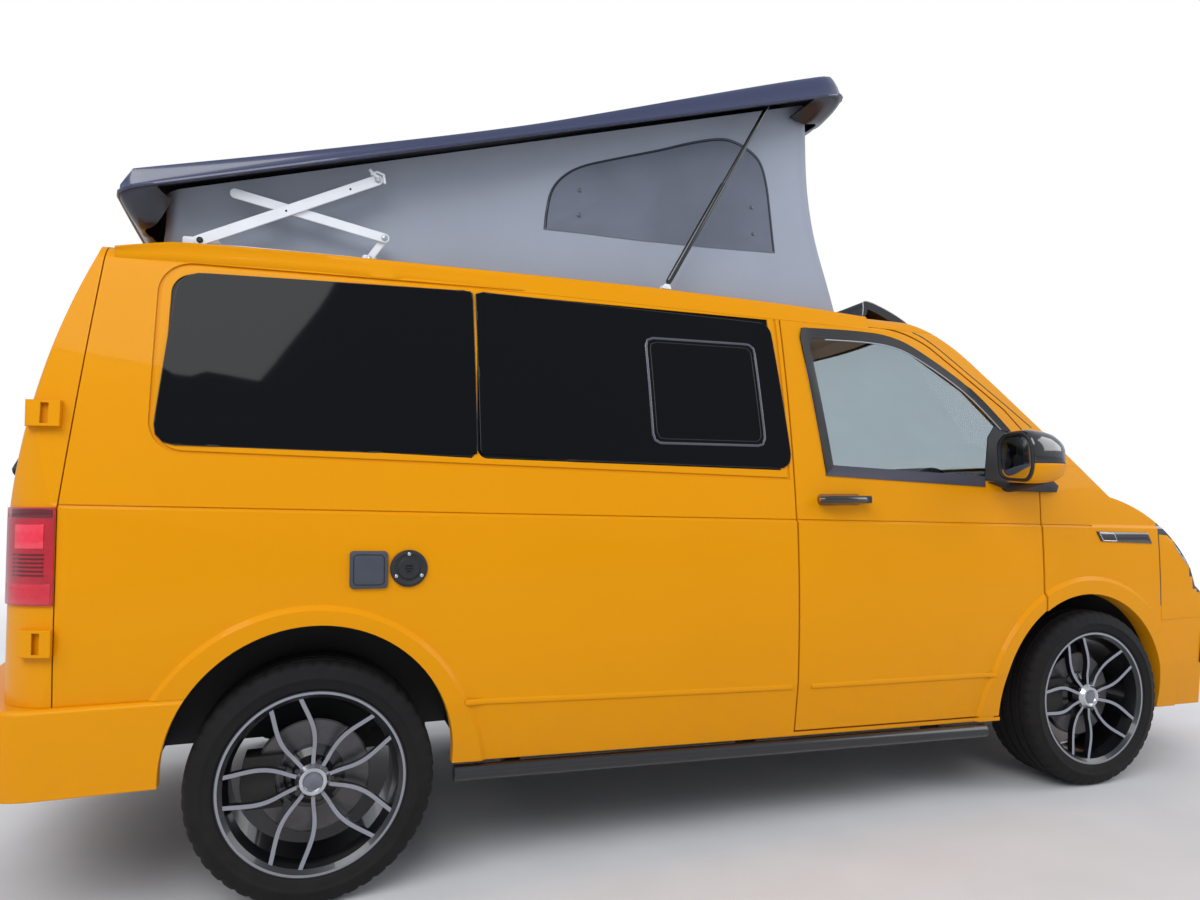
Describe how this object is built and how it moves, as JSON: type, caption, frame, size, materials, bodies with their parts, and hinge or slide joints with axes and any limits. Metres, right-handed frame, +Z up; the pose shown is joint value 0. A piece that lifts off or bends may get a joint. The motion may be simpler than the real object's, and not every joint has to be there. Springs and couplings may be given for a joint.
{
  "type": "camper van",
  "caption": "Medium camper van with a rear-hinged pop-top roof on canvas sides, hinged doors, opening bonnet and steered wheels.",
  "frame": {"origin": "on the ground under the middle of the overall length and width", "axes": "+X forward along the vehicle, +Y to the vehicle's left, +Z up"},
  "size_m": [4.904, 2.296, 2.8891],
  "materials": {
    "body_paint": "gloss orange-yellow clear coat",
    "roof_gloss": "gloss dark navy",
    "canvas_cloth": "matt grey canvas",
    "clear_glass": "clear",
    "dark_glass": "deeply tinted",
    "lamp_clear": "clear lens over a bright reflector",
    "lamp_red": "gloss red",
    "black_trim": "fine grain black",
    "gloss_black": "gloss black",
    "tyre_rubber": "matt black",
    "alloy": "gloss black with machined faces",
    "chassis_iron": "satin black coat",
    "bare_steel": "zinc plated",
    "white_steel": "satin white powder coat",
    "strut_black": "satin black",
    "cabin_plastic": "dark grey grain",
    "seat_cloth": "dark grey woven",
    "cabinet_board": "pale grey faced board"
  },
  "bodies": {
    "van_body": {"side_panel_right": "body_paint", "side_panel_left": "body_paint", "sliding_door": "body_paint", "side_glass": "dark_glass", "windscreen": "clear_glass", "rear_frame": "body_paint", "roof_panel": "body_paint", "windscreen_frame": "body_paint", "front_wings": "body_paint", "headlamps": "lamp_clear", "grille": "gloss_black", "front_bumper": "body_paint", "rear_bumper": "body_paint", "tail_lamps": "lamp_red", "rear_door_hinges": "body_paint", "floor_pan": "chassis_iron", "arch_liners": "black_trim", "front_subframe": "chassis_iron", "rear_axle": "chassis_iron", "powertrain": "chassis_iron", "dashboard": "cabin_plastic", "front_seats": "seat_cloth", "rear_bench": "seat_cloth", "camper_unit": "cabinet_board", "side_bars": "strut_black", "side_fittings": "black_trim", "wind_deflector": "gloss_black", "roof_rails": "white_steel", "canvas": "canvas_cloth"},
    "cab_door_body_right": {"cab_door_right": "body_paint", "cab_door_glass_right": "clear_glass", "mirror_right": "body_paint", "door_handle_right": "gloss_black"},
    "rear_door_body_right": {"rear_door_right": "body_paint", "rear_door_glass_right": "dark_glass"},
    "knuckle_body_right": {"knuckle_right": "chassis_iron"},
    "wheel_rear_right": {"rim_rear_right": "alloy", "tyre_rear_right": "tyre_rubber"},
    "wheel_front_right": {"rim_front_right": "alloy", "tyre_front_right": "tyre_rubber"},
    "cab_door_body_left": {"cab_door_left": "body_paint", "cab_door_glass_left": "clear_glass", "mirror_left": "body_paint", "door_handle_left": "gloss_black"},
    "rear_door_body_left": {"rear_door_left": "body_paint", "rear_door_glass_left": "dark_glass"},
    "knuckle_body_left": {"knuckle_left": "chassis_iron"},
    "wheel_rear_left": {"rim_rear_left": "alloy", "tyre_rear_left": "tyre_rubber"},
    "wheel_front_left": {"rim_front_left": "alloy", "tyre_front_left": "tyre_rubber"},
    "bonnet_body": {"bonnet": "body_paint"},
    "steering_body": {"steering_wheel": "cabin_plastic"},
    "poptop_body": {"roof_shell": "roof_gloss"},
    "outer_arms_body": {"scissor_arms_outer": "white_steel"},
    "inner_arms_body": {"scissor_arms_inner": "white_steel"},
    "links_body": {"scissor_links": "white_steel"},
    "strut_cylinder_body": {"strut_cylinders": "strut_black"},
    "strut_rod_body": {"strut_rods": "bare_steel"}
  },
  "joints": [
    {"name": "cab_door_right_hinge", "type": "hinge", "parent": "van_body", "child": "cab_door_body_right", "pos_m": [1.344, -0.945, 0.8], "axis": [0, 0, 1], "range_deg": [0, 65]},
    {"name": "rear_door_right_hinge", "type": "hinge", "parent": "van_body", "child": "rear_door_body_right", "pos_m": [-2.268, -0.797, 1.1], "axis": [0, 0, 1], "range_deg": [0, 180]},
    {"name": "steering_right", "type": "hinge", "parent": "van_body", "child": "knuckle_body_right", "pos_m": [1.544, -0.744, 0.348], "axis": [0, 0, 1], "range_deg": [-35, 35]},
    {"name": "wheel_rear_right_spin", "type": "hinge", "parent": "van_body", "child": "wheel_rear_right", "pos_m": [-1.456, -0.814, 0.348], "axis": [0, 1, 0], "continuous": true},
    {"name": "wheel_front_right_spin", "type": "hinge", "parent": "knuckle_body_right", "child": "wheel_front_right", "pos_m": [1.544, -0.814, 0.348], "axis": [0, 1, 0], "continuous": true},
    {"name": "cab_door_left_hinge", "type": "hinge", "parent": "van_body", "child": "cab_door_body_left", "pos_m": [1.344, 0.945, 0.8], "axis": [0, 0, -1], "range_deg": [0, 65]},
    {"name": "rear_door_left_hinge", "type": "hinge", "parent": "van_body", "child": "rear_door_body_left", "pos_m": [-2.268, 0.797, 1.1], "axis": [0, 0, -1], "range_deg": [0, 180]},
    {"name": "steering_left", "type": "hinge", "parent": "van_body", "child": "knuckle_body_left", "pos_m": [1.544, 0.744, 0.348], "axis": [0, 0, 1], "range_deg": [-35, 35]},
    {"name": "wheel_rear_left_spin", "type": "hinge", "parent": "van_body", "child": "wheel_rear_left", "pos_m": [-1.456, 0.814, 0.348], "axis": [0, 1, 0], "continuous": true},
    {"name": "wheel_front_left_spin", "type": "hinge", "parent": "knuckle_body_left", "child": "wheel_front_left", "pos_m": [1.544, 0.814, 0.348], "axis": [0, 1, 0], "continuous": true},
    {"name": "steering_wheel_turn", "type": "hinge", "parent": "van_body", "child": "steering_body", "pos_m": [0.894, -0.385, 1.105], "axis": [-0.788, 0, 0.6157], "range_deg": [-500, 500]},
    {"name": "bonnet_hinge", "type": "hinge", "parent": "van_body", "child": "bonnet_body", "pos_m": [1.594, 0, 1.262], "axis": [0, -1, 0], "range_deg": [0, 55]},
    {"name": "poptop_hinge", "type": "hinge", "parent": "van_body", "child": "poptop_body", "pos_m": [-2.156, 0, 2.0325], "axis": [0, 1, 0], "range_deg": [0, 16.8], "deforming": ["canvas"]},
    {"name": "outer_arms_hinge", "type": "hinge", "parent": "van_body", "child": "outer_arms_body", "pos_m": [-1.797, 0, 1.944], "axis": [0, 1, 0], "range_deg": [0, 27.5]},
    {"name": "inner_arms_hinge", "type": "hinge", "parent": "poptop_body", "child": "inner_arms_body", "pos_m": [-1.703, 0, 2.101], "axis": [0, 1, 0], "range_deg": [-27.5, 0]},
    {"name": "links_hinge", "type": "hinge", "parent": "van_body", "child": "links_body", "pos_m": [-1.304, 0, 1.936], "axis": [0, 1, 0], "range_deg": [0, 58.5]},
    {"name": "strut_hinge", "type": "hinge", "parent": "van_body", "child": "strut_cylinder_body", "pos_m": [-0.282, 0, 1.916], "axis": [0, 1, 0], "range_deg": [0, 54.5]},
    {"name": "strut_slide", "type": "slide", "parent": "strut_cylinder_body", "child": "strut_rod_body", "axis": [0.507, 0, 0.8619], "range_m": [-0.346, 0]}
  ],
  "couplings": [
    {"joint": "steering_left", "follows": "steering_right", "ratio": 1},
    {"joint": "steering_wheel_turn", "follows": "steering_right", "ratio": 14.2},
    {"joint": "outer_arms_hinge", "follows": "poptop_hinge", "ratio": 1.62},
    {"joint": "inner_arms_hinge", "follows": "poptop_hinge", "ratio": -1.62},
    {"joint": "links_hinge", "follows": "poptop_hinge", "ratio": 3.45},
    {"joint": "strut_hinge", "follows": "poptop_hinge", "ratio": 3.205},
    {"joint": "strut_slide", "follows": "poptop_hinge", "m_per_rad": -1.1645}
  ]
}
